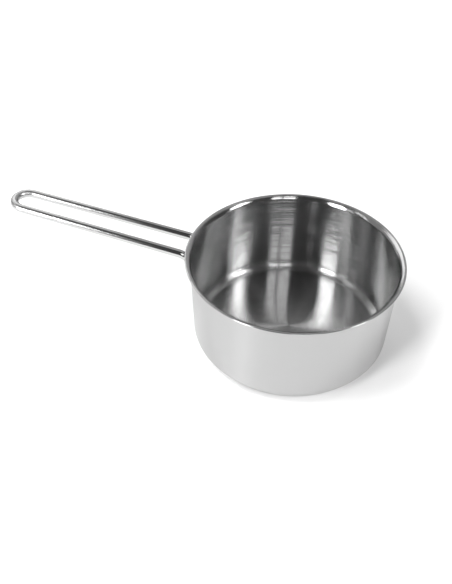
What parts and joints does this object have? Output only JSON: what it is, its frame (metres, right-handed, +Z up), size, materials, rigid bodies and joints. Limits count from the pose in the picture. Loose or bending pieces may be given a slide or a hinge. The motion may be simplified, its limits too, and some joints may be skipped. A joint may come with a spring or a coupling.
{
  "type": "candle melting pot",
  "caption": "Steel saucepan-style melting pot with a flared pouring rim, a heat-spreading base disc and a long loop handle of bent wire.",
  "frame": {"origin": "centre of the base's underside, on the axis of the pan", "axes": "+Z up along the pan's axis, the handle points along -X, and the part is the same on both sides of the XZ plane"},
  "size_m": [0.3191, 0.168, 0.0947],
  "materials": {
    "pan_steel": "stainless steel sheet, brushed in circles inside and polished outside",
    "cap_steel": "magnetic stainless steel, turned in fine circles underneath",
    "wire_steel": "electropolished stainless steel wire",
    "core_aluminium": "plain rolled aluminium, sealed inside the base",
    "braze": "dull brazing filler, sealed inside the base",
    "weld_steel": "resistance-weld nugget"
  },
  "bodies": {
    "root": {"pan": "pan_steel", "braze_upper": "braze", "base_core": "core_aluminium", "braze_lower": "braze", "base_cap": "cap_steel", "handle_wire": "wire_steel", "welds_left": "weld_steel", "welds_right": "weld_steel"}
  },
  "joints": []
}
